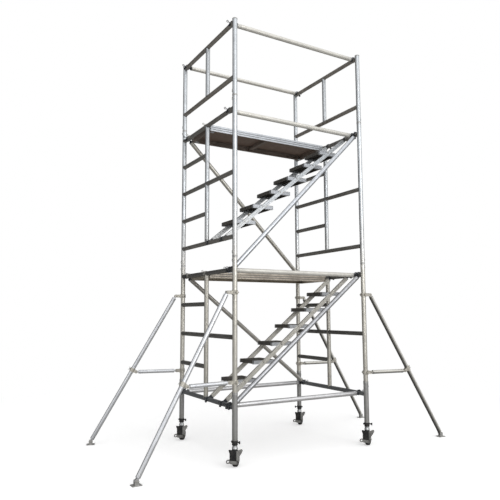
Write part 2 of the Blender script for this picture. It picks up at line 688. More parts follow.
def paint_stabiliser(corner):
    slope, coupler = arm_shape(corner)[1:]

    def pick_arm(centres):
        """0 tube, 1 clamps and coupler, 2 bolts."""
        x, y, z = in_leg_frame(centres, corner, ARM_HEADING[corner])
        cosine, sine = math.cos(slope), math.sin(slope)
        from_x, from_z = x - ARM_LUG_X, z - ARM_LUG_Z
        along = from_x * cosine - from_z * sine - coupler
        above = from_x * sine + from_z * cosine
        aside = abs(y) > 0.0139
        clamp = np.sqrt(x * x + y * y) < 0.064
        for lug_x, lug_z in CLAMP_LUGS:
            clamp |= (abs(z - lug_z) < 0.0202) & (x < lug_x + 0.021) & aside
        clamp |= ((abs(along) < 0.0263) & (np.sqrt(above ** 2 + y ** 2) > 0.0274)
                  & ((above > -0.035) | aside))
        bolt = np.zeros(len(x), bool)
        for across, upward in ((from_x, from_z), (x - STRUT_LUG_X, z - STRUT_LUG_Z),
                               (along, above + STRUT_DROP)):
            bolt |= (np.hypot(across, upward) < 0.0125) & (abs(y) > 0.0211)
        return np.where(bolt, 2, np.where(clamp, 1, 0))

    paint("stabiliser_" + corner, [CORNER_ARM[corner], "clamp", "bolt"], pick_arm)
    paint("stabiliser_foot_" + corner, ["foot"])


PLAIN_NODES = {
    "leg_caps": "cap", "lock_pins": "pin", "base_brace_front": "brace",
    "base_brace_rear": "brace", "lower_rail_front": "brace_cream",
    "upper_rail_front": "brace_cream", "guard_rail_front": "brace_cream",
    "guard_rail_rear": "brace_cream", "lower_diagonal_front": "brace_rise",
    "lower_diagonal_rear": "brace_fall", "upper_diagonal_front": "brace_steep_rise",
    "upper_diagonal_rear": "brace_steep_fall", "brace_hooks": "claw",
    "brace_latches": "latch", "tread_brackets": "shoe",
}
for node, key in PLAIN_NODES.items():
    paint(node, [key])
for side in ("left", "right"):
    for section, rung_material in SECTION_RUNG.items():
        leg_material = "base_leg" if section == "base" else "leg"
        paint(f"{section}_frame_{side}", [leg_material, "upright", rung_material], pick_frame)
for storey, rail_material in DECK_RAIL.items():
    paint(storey + "_deck_frame",
          [rail_material, "deck_groove", "deck_inner_" + storey], pick_deck)
    paint(storey + "_deck_board", ["plywood"])
    paint(storey + "_stair_stringers", ["stringer"])
    paint(storey + "_stair_treads", ["tread"])
paint("platform_hooks", ["hook", "claw"], lambda centres: centres[:, 1] < -0.02)
for corner in LEGS:
    paint_castor(corner)
    paint_stabiliser(corner)

# ---------------------------------------------------------------- ladder frames
# rungs of each section: (reach, height); front and rear rungs stop at the middle upright
SECTION_RUNGS = {
    "base": [("full", level(0))],
    "lower": [("rear", level(1)), ("front", level(2)), ("rear", level(2)), ("rear", level(3)),
              ("full", level(4))],
    "upper": [("full", level(5)), ("rear", level(6)), ("front", level(7)), ("rear", level(7)),
              ("rear", level(8)), ("full", level(9))],
    "guard": [("full", level(10)), ("full", Z_GUARD)],
}
# where the middle upright meets a rung: (rung height, 1 above it or -1 below it)
UPRIGHT_ENDS = {
    "base": [(level(0), 1)],
    "lower": [(level(4), -1)],
    "upper": [(level(5), 1), (level(9), -1)],
    "guard": [(level(10), 1), (Z_GUARD, -1)],
}
BEAD_ANGLES = circle(56)


def rung_seam(x, y, z, side, tube):
    """Path where a rung meets a vertical tube standing at y."""
    ring = RUNG_RADIUS + 0.0010
    across = ring * np.cos(BEAD_ANGLES)
    out = np.sqrt(np.maximum((tube + 0.0005) ** 2 - across * across, 0))
    return np.stack([x + across, y + side * out, z + ring * np.sin(BEAD_ANGLES)], 1)


def upright_seam(x, z, side):
    """Path where the middle upright meets a rung."""
    across = UPRIGHT_RADIUS * np.cos(BEAD_ANGLES)
    rise = np.sqrt(np.maximum((RUNG_RADIUS + 0.001) ** 2 - across * across, 0.000004))
    return np.stack([x + across * 1.02, UPRIGHT_RADIUS * np.sin(BEAD_ANGLES) * 1.02,
                     z + side * rise], 1)


def frame_detail(section, side, x):
    leg = BASE_LEG_RADIUS if section == "base" else LEG_RADIUS
    # start and end of a rung in y, and the radius of the tube at each end
    spans = {
        "full": (-HALF_Y, HALF_Y, leg, leg),
        "rear": (0.0, HALF_Y, UPRIGHT_RADIUS, leg),
        "front": (-HALF_Y, 0.0, leg, UPRIGHT_RADIUS),
    }
    ribs, beads = Piece(), Piece()
    for reach, z in SECTION_RUNGS[section]:
        start, end, start_tube, end_tube = spans[reach]
        ribs.fluted_sleeve((x, start + start_tube + 0.0035, z),
                           (x, end - end_tube - 0.0035, z), RUNG_RADIUS)
        beads.weld_bead(rung_seam(x, start, z, 1, start_tube))
        beads.weld_bead(rung_seam(x, end, z, -1, end_tube))
    for z, direction in UPRIGHT_ENDS[section]:
        beads.weld_bead(upright_seam(x, z, direction))
    name = f"{section}_{side}"
    ribs.make("rung_ribs_" + name, "tower", [SECTION_RUNG[section]], "tower_tube")
    beads.make("weld_beads_" + name, "tower", ["weld_dark"], "tower_tube")


def joint_radius(joint):
    return BASE_LEG_RADIUS if joint == 0 else LEG_RADIUS


def joint_collars():
    """Swaged collars under the joints of the legs and of the base uprights."""
    piece = Piece()
    wall = 0.0016
    for x, y in LEGS.values():
        for joint, z in enumerate(JOINT_HEIGHTS):
            radius = joint_radius(joint)
            outer = radius + wall
            profile = [(radius + 0.00004, -0.024), (outer, -0.0235), (outer + 0.0005, -0.020),
                       (outer, -0.0165), (outer, -0.006), (outer + 0.0007, -0.003),
                       (outer, -0.0004), (radius + 0.00004, 0.0)]
            piece.lathe(profile, (x, y, z), Z_AXIS, 40)
            for k in range(4):
                out = radial(k * math.pi / 2 + 0.4)
                piece.rivet(out * outer + (x, y, z - 0.0115), out, 0.0026, 0.0012, count=8)
    radius = UPRIGHT_RADIUS
    for x in (-HALF_X, HALF_X):
        piece.lathe([(radius + 0.00004, -0.016), (radius + 0.0013, -0.0155),
                     (radius + 0.0013, -0.0006), (radius + 0.00004, 0.0)],
                    (x, 0, JOINT_HEIGHTS[0]), Z_AXIS, 36)
    piece.make("leg_joint_collars", "tower", ["weld"], "tower_tube")


def lock_pin_rings():
    """A loop and a domed head on the outer side of every lock pin."""
    piece = Piece()
    head = [(0, 0), (0.0080, 0), (0.0084, 0.0008), (0.0080, 0.0016), (0.0054, 0.0021),
            (0, 0.0022)]
    for x, y in LEGS.values():
        side = 1 if x > 0 else -1
        for joint, offset in ((0, -0.05), (1, 0.05), (1, -0.05), (2, 0.05), (2, -0.05)):
            radius = joint_radius(joint)
            z = JOINT_HEIGHTS[joint] + offset
            piece.ring((x + side * (radius + 0.00325), y, z - 0.013), 0.0121, 0.0026, 28,
                       Y_AXIS, Z_AXIS)
            piece.lathe(head, (x + side * (radius + 0.0052), y, z), (side, 0, 0), 20)
    piece.make("lock_pin_rings", "tower", ["pin"], "pin")


for side, x in (("left", -HALF_X), ("right", HALF_X)):
    for section in SECTION_RUNGS:
        frame_detail(section, side, x)
joint_collars()
lock_pin_rings()

# ---------------------------------------------------------------- braces
# (y, height at the left frame, height at the right frame)
BRACES = [
    (Y_FRONT, Z_BASE, Z_BASE), (Y_REAR, Z_BASE, Z_BASE), (Y_FRONT, Z_LOWER, Z_LOWER),
    (Y_FRONT, Z_UPPER, Z_UPPER), (Y_GUARD, Z_GUARD, Z_GUARD), (Y_REAR, Z_GUARD, Z_GUARD),
    (Y_DIAGONAL_FRONT, Z_BASE, Z_LOWER), (Y_DIAGONAL_REAR, Z_LOWER, Z_BASE),
    (Y_DIAGONAL_FRONT, Z_LOWER, Z_UPPER), (Y_DIAGONAL_REAR, Z_UPPER, Z_LOWER),
]


def brace_crimps(piece, end, inward, upright):
    """Raised bands and rivets on one end of a brace."""
    radius = BRACE_RADIUS
    profile = [(radius + 0.00003, 0), (radius + 0.0007, 0.0004), (radius + 0.0011, 0.003),
               (radius + 0.0007, 0.0056), (radius + 0.00003, 0.006)]
    for offset in (0.0705, 0.116):
        piece.lathe(profile, end + inward * offset, inward, 30)
    for offset in (0.086, 0.104):
        for out in (Y_AXIS, -Y_AXIS):
            piece.rivet(end + inward * offset + out * radius, out, 0.0042, 0.0018)
        for out in (upright, -upright):
            piece.rivet(end + inward * (offset - 0.009) + out * radius, out, 0.0034, 0.0015)


def claw_rims(piece, end, side):
    """Pull ring, eye rims and rolled edges of a claw; side is 1 for the left end."""
    piece.ring(end + (-side * 0.066, 0, 0.022), 0.0122, 0.0034, 30, X_AXIS, Z_AXIS)
    for y in (-0.0090, 0.0090):
        piece.ring(end + (-side * 0.041, y, -0.023), 0.0090, 0.0022, 30, X_AXIS, Z_AXIS, 7)
    angles = np.linspace(math.radians(-20), math.radians(200), 26)
    for y in (-0.0136, 0.0136):
        piece.sweep(arc(end + (0, y, 0), 0.0352, X_AXIS, Z_AXIS, angles), 0.0018, 7)


def claw_spring(piece, end, side):
    """Pivot heads, coil spring, thumb piece and a second pin on a claw."""
    pivot_x = side * (RUNG_RADIUS + 0.0035)
    head = [(0, -0.0006), (0.0052, -0.0006), (0.0056, 0.0004), (0.0044, 0.0017),
            (0.002, 0.0022), (0, 0.0022)]
    for y, out in ((-0.0141, -Y_AXIS), (0.0183, Y_AXIS)):
        piece.lathe(head, end + (pivot_x, y, 0.020), out, 14)
    share = np.linspace(0, 1, 60)
    angles = share * 2 * math.pi * 5
    coil_x = side * (RUNG_RADIUS + 0.0035 + 0.0042 * np.cos(angles))
    coil = np.stack([coil_x, -0.0150 - 0.0055 * share, 0.020 + 0.0042 * np.sin(angles)], 1)
    piece.sweep(end + coil, 0.0007, 5)
    piece.box(end + (pivot_x, 0.0207, 0.0268), (0.0092, 0.0122, 0.0030), bevel=0.0009)
    pin = [(0, -0.0005), (0.0042, -0.0005), (0.0045, 0.0004), (0.0036, 0.0014), (0, 0.0018)]
    piece.lathe(pin, end + (-side * (RUNG_RADIUS + 0.0046), -0.0141, 0.004), -Y_AXIS, 12)


def brace_details():
    crimps, springs, rims = Piece(), Piece(), Piece()
    for y, z_left, z_right in BRACES:
        left, right = np.array([-HALF_X, y, z_left]), np.array([HALF_X, y, z_right])
        ahead = (right - left) / np.linalg.norm(right - left)
        upright = np.cross(ahead, Y_AXIS)
        for end, side in ((left, 1), (right, -1)):
            brace_crimps(crimps, end, ahead * side, upright)
            claw_rims(rims, end, side)
            claw_spring(springs, end, side)
    crimps.make("brace_end_crimps", "tower", ["weld"], "brace_tube")
    springs.make("claw_springs_and_pins", "tower", ["latch"], "latch")
    rims.make("claw_rims_and_rings", "tower", ["claw"], "claw")


brace_details()


# ---------------------------------------------------------------- decks
def deck_plywood(storey, low, high):
    """Two plywood sheets with eased edges, side by side along x."""
    piece = Piece()
    gap, ease = 0.0012, 0.0012
    length = (high.x - low.x) / 2 - gap
    for side in (-1, 1):
        x_start, x_end = ((low.x, low.x + length) if side < 0 else (high.x - length, high.x))
        x_line = np.concatenate([[x_start], np.linspace(x_start + ease, x_end - ease, 48),
                                 [x_end]])
        y_line = np.concatenate([[low.y], np.linspace(low.y + ease, high.y - ease, 14),
                                 [high.y]])
        x, y = np.meshgrid(x_line, y_line, indexing="ij")
        wave = 0.00025 * np.sin(x * 9 + side) * np.cos(y * 7)
        edge = (x <= x_start) | (x >= x_end) | (y <= low.y) | (y >= high.y)
        z_top = np.where(edge, high.z - ease, high.z - 0.0002 + np.minimum(wave, 0.0002))
        z_bottom = np.where(edge, low.z + 0.0008, low.z + 0.0001)
        rows, columns = x.shape
        under = rows * columns
        vertices = np.concatenate([np.stack([x, y, z], -1).reshape(-1, 3)
                                   for z in (z_top, z_bottom)])
        top = [[i * columns + j, (i + 1) * columns + j, (i + 1) * columns + j + 1,
                i * columns + j + 1] for i in range(rows - 1) for j in range(columns - 1)]
        bottom = [[k + under for k in face[::-1]] for face in top]
        outline = ([i * columns for i in range(rows)]
                   + [(rows - 1) * columns + j for j in range(1, columns)]
                   + [i * columns + columns - 1 for i in range(rows - 2, -1, -1)]
                   + list(range(columns - 2, 0, -1)))
        rim = [[after, here, here + under, after + under]
               for here, after in zip(outline, outline[1:] + outline[:1])]
        piece.add(vertices, top, 0)
        piece.cover(bottom, 1, True)
        piece.cover(rim, 2, False)
    underside = "plywood_lower" if storey == "lower" else "plywood"
    board = piece.make(storey + "_deck_plywood", "tower",
                       ["plywood_top", underside, "plywood_edge"], "plywood")
    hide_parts(storey + "_deck_board")


SCREW = [(0, -0.0012), (0.0046, -0.0012), (0.0048, 0.0), (0.0040, 0.0006), (0.0014, 0.0006),
         (0.0012, 0.0), (0, 0.0)]


def deck_fixings(storey, low, high, rail_low, rail_high):
    """Board screws, rail rivets, rail lips and corner gussets."""
    piece = Piece()
    middle_x = (low.x + high.x) / 2
    spots = [(low.x + 0.03 + k * (high.x - low.x - 0.06) / 10, y)
             for y in (low.y + 0.009, high.y - 0.009) for k in range(11)]
    spots += [(x, low.y + 0.10 + k * (high.y - low.y - 0.2) / 3)
              for x in (low.x + 0.009, middle_x - 0.014, middle_x + 0.014, high.x - 0.009)
              for k in range(4)]
    for x, y in spots:
        piece.lathe(SCREW, (x, y, high.z - 0.0001), Z_AXIS, 14, 1)
    for y, out in ((rail_low.y, -Y_AXIS), (rail_high.y, Y_AXIS)):
        for x in (rail_low.x + 0.014, rail_low.x + 0.040, rail_high.x - 0.014,
                  rail_high.x - 0.040):
            for z in (rail_low.z + 0.012, rail_low.z + 0.040, rail_high.z - 0.014):
                piece.rivet((x, y, z), out, 0.0045, 0.002)
        rail_middle = (rail_low.x + rail_high.x) / 2
        for offset in (-0.016, 0.016):
            piece.rivet((rail_middle + offset, y, rail_low.z + 0.040), out, 0.0040, 0.0018)
    for y, inward_y in ((rail_low.y, 1), (rail_high.y, -1)):
        for z in (rail_low.z + 0.0015, rail_high.z - 0.0015):
            lip_y = y + inward_y * 0.0016
            piece.sweep([(x, lip_y, z) for x in (rail_low.x + 0.001, 0, rail_high.x - 0.001)],
                        0.0017, 8)
        for x, inward_x in ((rail_low.x, 1), (rail_high.x, -1)):
            piece.box((x + inward_x * 0.052, y + inward_y * 0.052, rail_low.z - 0.0012),
                      (0.052, 0.052, 0.0024), bevel=0.0008)
            for in_x, in_y in ((0.040, 0.040), (0.064, 0.040), (0.040, 0.064)):
                piece.rivet((x + inward_x * in_x, y + inward_y * in_y, rail_low.z - 0.0024),
                            -Z_AXIS, 0.0038, 0.0016)
    piece.make(storey + "_deck_fixings", "tower", [DECK_RAIL[storey], "screw"], "deck_rail")


def wind_locks(storey, z, rail_low, rail_high):
    """Bent strap, bolt, tab, rivets and pull ring at each deck hook."""
    piece = Piece()
    angles = np.linspace(-0.15 * math.pi, -0.72 * math.pi, 14)
    for side in (-1, 1):
        for y in (rail_low.y + 0.034, rail_high.y - 0.034):
            hook = np.array([side * HALF_X, y, z])
            strap = arc(hook + (0, 0.0192, 0), 0.0317, -side * X_AXIS, Z_AXIS, angles)
            piece.sweep(strap, 0.0028, 8, squash=0.8)
            piece.hex_bolt(hook + (-side * 0.0335, 0.0161, 0.008), Y_AXIS, 0.0065, 0.005)
            piece.box(hook + (-side * 0.037, 0.0195, -0.026), (0.010, 0.004, 0.026))
            for drop in (-0.020, -0.045):
                piece.rivet(hook + (-side * 0.036, -0.016, drop), -Y_AXIS, 0.0045, 0.002)
                piece.rivet(hook + (-side * 0.036, 0.016, drop - 0.006), Y_AXIS, 0.0045, 0.002)
            piece.ring(hook + (side * 0.048, 0, 0.030), 0.0112, 0.0034, 30, X_AXIS, Z_AXIS,
                       slot=1)
    piece.make(storey + "_deck_wind_locks", "tower", ["latch", "hook"], "latch")


for storey, z in (("lower", Z_LOWER), ("upper", Z_UPPER)):
    board = box(storey + "_deck_board")
    rails = box(storey + "_deck_frame")
    deck_plywood(storey, *board)
    deck_fixings(storey, *board, *rails)
    wind_locks(storey, z, *rails)

# ---------------------------------------------------------------- stairs
STRINGER_WIDTH, STRINGER_HEIGHT = 0.030, 0.050
STRINGER_INSET = 0.0582  # from the frame's axis to either end of a stringer
STRINGER_END = math.hypot(2 * HALF_X, 4 * RUNG_PITCH) - STRINGER_INSET
STAIR_LOW, STAIR_HIGH = box("lower_stair_stringers")
FRONT_STRINGER = STAIR_LOW.y + STRINGER_WIDTH / 2
REAR_STRINGER = STAIR_HIGH.y - STRINGER_WIDTH / 2
UP_STAIR = np.array([math.cos(LEAN_LOWER), 0, math.sin(LEAN_LOWER)])
OFF_STAIR = np.array([-math.sin(LEAN_LOWER), 0, math.cos(LEAN_LOWER)])
TREAD_DEPTH, TREAD_HEIGHT = 0.300, 0.046
TREAD_COUNT = 6


def tread_ribs(piece, x, top, y_start, y_end):
    """Edge bars, front ridges, deep ribs underneath and grit studs of one tread."""
    y_middle = (y_start + y_end) / 2

    def bar(bar_x, z, radius, sides):
        piece.sweep([(bar_x, y, z) for y in (y_start, y_middle, y_end)], radius, sides)

    for edge_x, radius in ((x + 0.0032, 0.0034), (x + TREAD_DEPTH - 0.0032, 0.0030)):
        bar(edge_x, top - 0.0028, radius, 10)
        bar(edge_x, top - TREAD_HEIGHT + 0.003, 0.0030, 8)
    for k in range(4):
        bar(x + 0.0004, top - 0.012 - k * 0.0072, 0.0012, 6)
    for offset in (0.080, 0.150, 0.220):
        piece.box((x + offset, y_middle, top - 0.0178), (0.004, y_end - y_start - 0.002, 0.0200),
                  bevel=0.0008)
    stud = [(0, -0.0004), (0.0026, -0.0004), (0.0021, 0.0009), (0, 0.0011)]
    for row in range(9):
        stud_x = x + 0.015 + (row + 0.5) * (TREAD_DEPTH - 0.030) / 9
        stagger = 0.004 if row % 2 else -0.004
        for k in range(16):
            stud_y = y_start + 0.016 + k * (y_end - y_start - 0.032) / 15 + stagger
            piece.lathe(stud, (stud_x, stud_y, top), Z_AXIS, 6)


def tread_fixings(piece, x, top):
    """Bolts through the stringers and rivets on the shoes of one tread."""
    half = STRINGER_WIDTH / 2
    for offset in (-0.026, 0.026):
        for y, out in ((FRONT_STRINGER - half, -Y_AXIS), (REAR_STRINGER + half, Y_AXIS)):
            piece.hex_bolt((x + TREAD_DEPTH / 2 + offset, y, top - 0.025), out, 0.0075, 0.005)
    for y, inward, insets in ((FRONT_STRINGER + half, 1, (0.011, 0.030)),
                              (REAR_STRINGER - half, -1, (0.009,))):
        for inset in insets:
            rivet_y = y + inward * inset
            for offset in (0.03, TREAD_DEPTH - 0.03):
                piece.rivet((x + offset, rivet_y, top - TREAD_HEIGHT - 0.004), -Z_AXIS,
                            0.004, 0.0018)
            piece.rivet((x - 0.0032, rivet_y, top - 0.026), -X_AXIS, 0.0036, 0.0016)
            piece.rivet((x + TREAD_DEPTH + 0.0032, rivet_y, top - 0.026), X_AXIS,
                        0.0036, 0.0016)


def stringer_detail(piece, foot_z):
    """Rolled edges, end rivets and a raised line along the web of both stringers."""
    foot = np.array([-HALF_X, 0, foot_z])

    def line(offset, inset, radius):
        stations = (STRINGER_INSET + inset, (STRINGER_INSET + STRINGER_END) / 2,
                    STRINGER_END - inset)
        piece.sweep([foot + offset + UP_STAIR * station for station in stations],
                    radius, 8, slot=1)

    for y, side in itertools.product((FRONT_STRINGER, REAR_STRINGER), (-1, 1)):
        half = STRINGER_WIDTH / 2
        for face in (-1, 1):
            line(OFF_STAIR * face * (STRINGER_HEIGHT / 2 - 0.0012)
                 + (0, y + side * (half - 0.0012), 0), 0.001, 0.0016)
        for end, inward in ((STRINGER_INSET, 1), (STRINGER_END, -1)):
            for along in (0.014, 0.040):
                for off in (-0.014, 0.014):
                    spot = UP_STAIR * (end + inward * along) + OFF_STAIR * off
                    piece.rivet(foot + spot + (0, y + side * half, 0), (0, side, 0),
                                0.0045, 0.002)
        line(np.array([0, y + side * (half + 0.0002), 0]), 0.02, 0.0013)


def stair(storey, foot_z):
    fixings, ribs = Piece(), Piece()
    low, high = box(storey + "_stair_treads")
    rise = (high.z - TREAD_HEIGHT - low.z) / (TREAD_COUNT - 1)
    going = (high.x - low.x - TREAD_DEPTH) / (TREAD_COUNT - 1)
    for i in range(TREAD_COUNT):
        x = low.x + i * going
        top = low.z + TREAD_HEIGHT + i * rise
        tread_ribs(ribs, x, top, low.y + 0.001, high.y - 0.001)
        tread_fixings(fixings, x, top)
    stringer_detail(fixings, foot_z)
    fixings.make(storey + "_stair_fixings", "tower", ["bolt", "stringer"], "stringer")
    ribs.make(storey + "_tread_ribs", "tower", ["tread"], "tread")


stair("lower", Z_BASE)
stair("upper", level(5))

# ---------------------------------------------------------------- castors
# half of the tyre's section: (radius, distance from the middle)
TYRE_HALF = [(0.0565, 0.0214), (0.0640, 0.0235), (0.0700, 0.0232), (0.0740, 0.0205),
             (0.0756, 0.0125), (0.0760, 0.0030)]
# edge of a fork cheek: (x, z)
FORK_EDGE = [(-0.043, 0.170), (-0.0465, 0.120), (-0.048, 0.076), (-0.044, 0.0635),
             (-0.036, 0.0575), (-0.024, 0.0575), (-0.016, 0.0635), (-0.012, 0.074),
             (0.025, 0.131), (0.043, 0.161)]
# direction of the nut's handle about z, in degrees
NUT_HANDLE = {"a": -60, "b": -50, "c": -42, "d": 142}
# outlines on the brake lever: (y, z)
LEVER_EDGE = [(-0.0408, 0.0865), (-0.0408, 0.160), (-0.0545, 0.194), (-0.046, 0.2015),
              (0.034, 0.1955), (0.0405, 0.1895), (0.0408, 0.0865)]
LEVER_LOOP = [(-0.030, 0.092), (-0.062, 0.092), (-0.082, 0.080), (-0.086, 0.058),
              (-0.072, 0.046), (-0.044, 0.052), (-0.024, 0.0845)]
LEVER_HOLE = [(-0.046, 0.080), (-0.064, 0.080), (-0.073, 0.072), (-0.075, 0.062),
              (-0.068, 0.057), (-0.050, 0.062)]
LEVER_WING = [(0.043, 0.092), (0.054, 0.092), (0.066, 0.128), (0.098, 0.172), (0.115, 0.206),
              (0.104, 0.219), (0.084, 0.213), (0.060, 0.200), (0.043, 0.1935)]
LEVER_BAND = [(-0.045, 0.082), (-0.045, 0.054), (-0.032, 0.046), (0.032, 0.046),
              (0.041, 0.054), (0.041, 0.083)]


def wheel_detail(corner, place, direct):
    """Tyre with shoulder rings and a crowned tread, and a hub with eight spokes."""
    centre = place(AXLE)
    axle, across, along = basis(direct(Y_AXIS))
    tyre = Piece()
    section = ([(radius, -y) for radius, y in TYRE_HALF] + [(0.0763, 0.0)] + TYRE_HALF[::-1])
    tyre.lathe(section, centre, axle, 72)
    for side in (-1, 1):
        for radius, y, wire in ((0.0665, 0.0238, 0.0009), (0.0595, 0.0226, 0.0008)):
            tyre.ring(centre + axle * side * y, radius, wire, 64, across, along, 6)
    tyre.make("tyre_detail_" + corner, "wheel_" + corner, ["tyre"], "wheel")
    hub = Piece()
    boss = [(0.0165, 0.010), (0.0205, 0.010), (0.0205, 0.0262), (0.0195, 0.0278),
            (0.0165, 0.0278)]
    for side in (-1, 1):
        for k in range(8):
            angle = k * math.pi / 4
            out = across * math.cos(angle) + along * math.sin(angle)
            turn = np.stack([out, np.cross(axle, out), axle], 1)
            hub.box(centre + out * 0.0345 + axle * side * 0.0155, (0.034, 0.0036, 0.0075),
                    turn, 0.0009)
        hub.lathe(boss, centre, axle * side, 28)
    hub.make("hub_ribs_" + corner, "wheel_" + corner, ["hub"], "wheel")


def fork_detail(corner, place, direct):
    """Swaged cheek edges, rivets, axle discs, race rings and a nipple."""
    piece = Piece()
    disc = [(0, 0), (0.0165, 0), (0.017, 0.0008), (0.0165, 0.0016), (0, 0.0016)]
    for side in (-1, 1):
        out = direct((0, side, 0))
        piece.sweep(place([(x, side * 0.0355, z) for x, z in FORK_EDGE]), 0.0021, 8)
        for x, z in ((-0.030, 0.150), (-0.034, 0.115), (0.006, 0.128)):
            piece.rivet(place((x, side * 0.037, z)), out, 0.0045, 0.002)
        piece.lathe(disc, place((AXLE[0], side * 0.03705, AXLE[2])), out, 24)
    for radius, z, wire in ((0.0355, 0.1815, 0.0014), (0.0345, 0.1885, 0.0012),
                            (0.0312, 0.1975, 0.0010)):
        piece.ring((*LEGS[corner], z), radius, wire, 48, sides=6, slot=1)
    nipple = [(0, 0), (0.0032, 0), (0.0032, 0.003), (0.0018, 0.0042), (0.0026, 0.0056),
              (0.0016, 0.0072), (0, 0.0074)]
    piece.lathe(nipple, place((0.0, 0.0335, 0.190)), direct(Y_AXIS), 10)
    piece.make("fork_detail_" + corner, "fork_" + corner, ["zinc", "lever"], "fork")


def stem_seal(corner):
    """Rolled rings, dust seal and rivets on the collar over the swivel."""
    piece = Piece()
    x, y = LEGS[corner]
    for radius, z, wire in ((0.0342, 0.2055, 0.0016), (0.0307, 0.2200, 0.0013),
                            (0.0284, 0.2310, 0.0013), (0.0270, 0.2395, 0.0010)):
        piece.ring((x, y, z), radius, wire, 48, sides=6)
    piece.lathe([(0.0192, 0.2392), (0.0238, 0.2390), (0.0246, 0.2397), (0.0238, 0.2405),
                 (0.0205, 0.2408), (0.0192, 0.2408)], (x, y, 0), Z_AXIS, 36)
    for k in range(6):
        out = radial(k * math.pi / 3 + 0.2)
        piece.rivet(out * 0.0326 + (x, y, 0.2130), out + (0, 0, 0.27), 0.0034, 0.0016)
    piece.make("stem_seal_" + corner, "jack_" + corner, ["stem"], "stem")


def nut_grips(corner):
    """Grip lugs and neck rings of the jack nut, and the upright roll on its handle."""
    piece = Piece()
    base = np.array([*LEGS[corner], 0])
    for k in range(16):
        angle = k * math.pi / 8 + 0.1
        piece.box(base + (0, 0, 0.2835) + radial(angle) * 0.0352, (0.0028, 0.0060, 0.0210),
                  turn_z(angle), 0.0009)
    for profile in (
        [(0.0329, 0.2475), (0.0350, 0.2470), (0.0360, 0.2490), (0.0356, 0.2515),
         (0.0334, 0.2515)],
        [(0.0351, 0.2722), (0.0366, 0.2728), (0.0366, 0.2745), (0.0351, 0.2750)],
        [(0.0351, 0.2925), (0.0364, 0.2928), (0.0364, 0.2948), (0.0351, 0.2953)],
    ):
        piece.lathe(profile, base, Z_AXIS, 40)
    roll = [(0, 0.2925), (0.0062, 0.2925), (0.0086, 0.2912), (0.0094, 0.2880),
            (0.0094, 0.2660), (0.0086, 0.2628), (0.0062, 0.2615), (0, 0.2615)]
    handle = radial(math.radians(NUT_HANDLE[corner]))
    piece.lathe(roll, base + handle * 0.062, Z_AXIS, 18)
    piece.make("nut_grips_" + corner, "nut_" + corner, ["nut"], "nut")


def lever_detail(corner, place, direct):
    """Pressed ribs and rolled outlines on the brake lever's plate, loop, wing and band."""
    piece = Piece()

    def trace(outline, x, radius, slot=1, closed=False):
        path = [(x, y, z) for y, z in subdivide(outline, closed, shift=0.15)]
        piece.sweep(place(path), radius, 8, closed, slot)

    for k in range(4):
        z = 0.100 + k * 0.019
        rib = [(0.0634, -0.034, z), (0.0638, 0, z + 0.001), (0.0634, 0.034, z)]
        piece.sweep(place(rib), 0.0019, 8)
    trace(LEVER_EDGE, 0.0605, 0.0022, slot=0)
    trace(LEVER_LOOP, 0.0603, 0.0028)
    trace(LEVER_HOLE, 0.0603, 0.0024, closed=True)
    trace(LEVER_WING, 0.0603, 0.0026)
    for k in range(3):
        z = 0.138 + k * 0.019
        rib = [(0.0628, 0.046, z), (0.0630, 0.057 + k * 0.004, z), (0.0628, 0.068 + k * 0.010, z)]
        piece.sweep(place(rib), 0.0017, 8, slot=1)
    trace(LEVER_BAND, 0.0612, 0.0024)
    for y in (-0.026, 0.0, 0.026):
        rib = [(0.0632, y, 0.0800), (0.0636, y, 0.0660), (0.0632, y, 0.0530)]
        piece.sweep(place(rib), 0.0018, 8, slot=1)
    for side in (-1, 1):
        for x, z in ((0.050, 0.150), (0.056, 0.100)):
            piece.rivet(place((x, side * 0.0412, z)), direct((0, side, 0)), 0.0042, 0.0018, 1)
    piece.make("brake_lever_detail_" + corner, "lever_" + corner,
               ["lever", "zinc", "rubber"], "lever")


for corner in LEGS:
    place, direct = leg_frame(corner, CASTOR_HEADING[corner])
    wheel_detail(corner, place, direct)
    fork_detail(corner, place, direct)
    stem_seal(corner)
    nut_grips(corner)
    lever_detail(corner, place, direct)

# ---------------------------------------------------------------- stabilisers
ARM_RADIUS, STRUT_RADIUS = 0.027, 0.024


def clamp_detail(piece, place, direct, lug_x, z):
    """Bands, bolts, wing nut and lug ribs of one clamp on the leg."""
    angles = np.linspace(-1.15, 1.15, 26)
    for offset in (-0.022, 0.0, 0.022):
        centre = (0, 0, z + offset)
        piece.sweep(place(arc(centre, 0.0391, X_AXIS, Y_AXIS, angles)), 0.0022, 8)
        if offset < 0.021:
            piece.sweep(place(arc(centre, 0.0381, -X_AXIS, Y_AXIS, angles)), 0.0022, 8) \
                if offset > -0.021 else None
    for y in (-0.048, 0.048):
        piece.hex_bolt(place((0.0163, y, z)), direct(X_AXIS), 0.0075, 0.004, 1, washer=False)
    nut = [(0, -0.0135), (0.0085, -0.0135), (0.0092, -0.0128), (0.0088, -0.0095), (0, -0.0095)]
    piece.lathe(nut, place((0, 0.048, z)), direct(X_AXIS), 18, 1)
    for side in (-1, 1):
        ear = np.array([-0.016, 0.048 + side * 0.0105, z])
        path = [ear + (0.0035, -side * 0.006, 0), ear, ear + (-0.0055, side * 0.0035, 0)]
        path[1] = ear + (-0.001, 0, 0)
        piece.sweep(place(path), [0.0034, 0.0042, 0.0034], 10, slot=1)
    for side in (-1, 1):
        y = side * 0.0212
        for offset in (0.018, -0.018):
            piece.sweep(place([(0.034, y, z + offset), (lug_x - 0.010, y, z + offset)]),
                        0.0019, 8)
        piece.ring(place((lug_x, y, z)), 0.0155, 0.0014, 24, direct(X_AXIS), Z_AXIS, 6)


